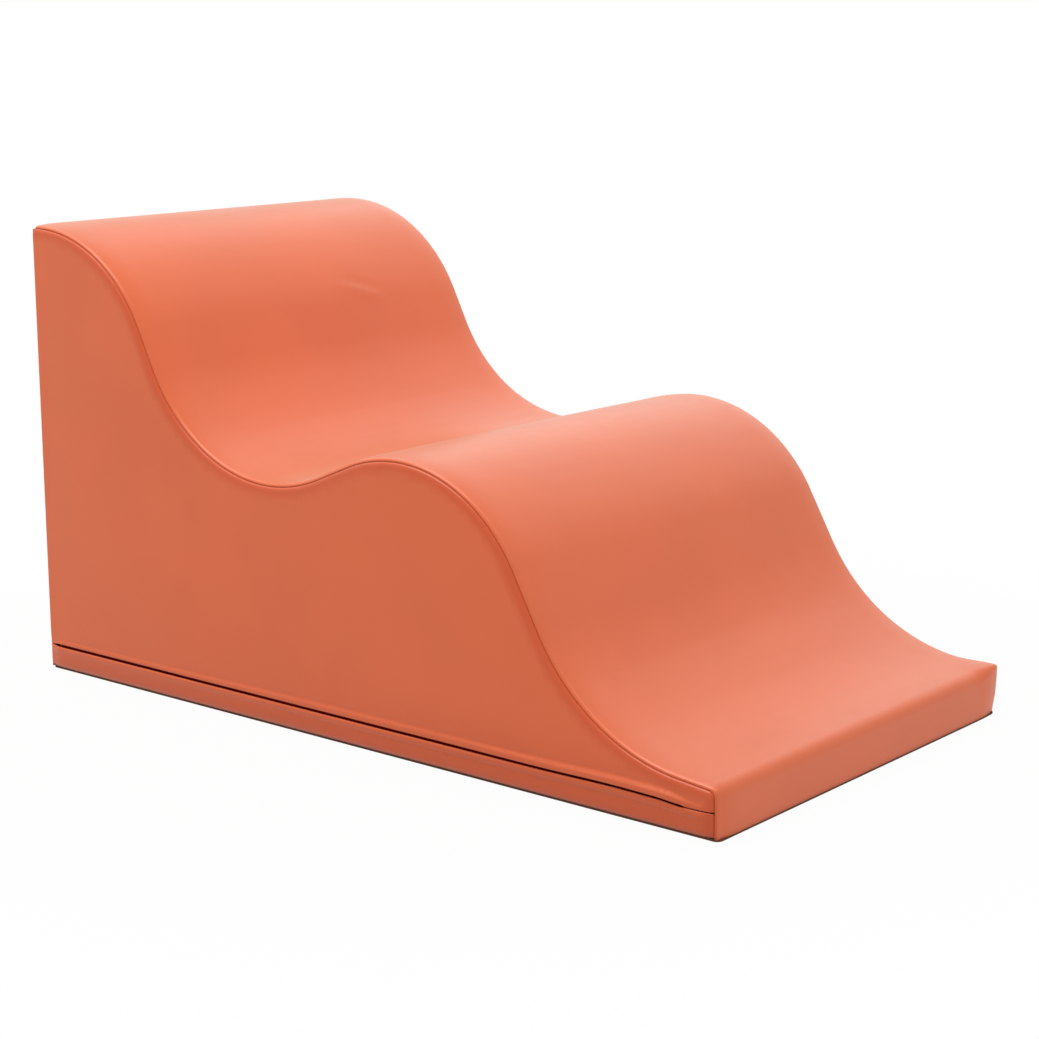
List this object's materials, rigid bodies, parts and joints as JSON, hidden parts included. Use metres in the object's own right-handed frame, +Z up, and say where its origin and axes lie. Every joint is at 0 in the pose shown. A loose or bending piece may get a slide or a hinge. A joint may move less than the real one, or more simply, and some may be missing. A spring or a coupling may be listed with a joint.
{
  "type": "soft play foam climber",
  "caption": "Soft play climber with a wavy climbing surface falling from a tall rear to a thin nose: foam blocks in a sewn vinyl cover with a hidden zip along its side.",
  "frame": {"origin": "middle of the underside's rectangle, on the floor", "axes": "+X along the length towards the thin nose, +Z up, -Y towards the side with the zip"},
  "size_m": [1.102, 0.604, 0.6],
  "materials": {
    "vinyl": "coral PVC-coated cloth, satin-matte with a fine grain",
    "base_cloth": "dark non-slip coated cloth, matt",
    "firm_foam": "cut polyurethane foam, matt",
    "soft_foam": "softer cut polyurethane foam, matt",
    "zip_tape": "woven tape, dark maroon",
    "zip_coil": "nylon coil, dark maroon",
    "thread": "coral sewing thread",
    "slider_metal": "nickel-plated zinc, satin"
  },
  "bodies": {
    "climber": {"foam_base_slab": "firm_foam", "foam_wave_core": "firm_foam", "foam_top_layer": "soft_foam", "cover_top_strip": "vinyl", "cover_side_near": "vinyl", "cover_side_far": "vinyl", "cover_back_panel": "vinyl", "cover_band_near": "vinyl", "cover_base_panel": "base_cloth", "zip_tape_upper": "zip_tape", "zip_tape_lower": "zip_tape", "zip_coil_upper": "zip_coil", "zip_coil_lower": "zip_coil", "zip_tack_rear": "thread", "zip_tack_nose": "thread"},
    "slider": {"zip_slider": "slider_metal"}
  },
  "joints": [
    {"name": "zip_slide", "type": "slide", "parent": "climber", "child": "slider", "axis": [-1, 0, 0], "range_m": [0, 1.042]}
  ]
}
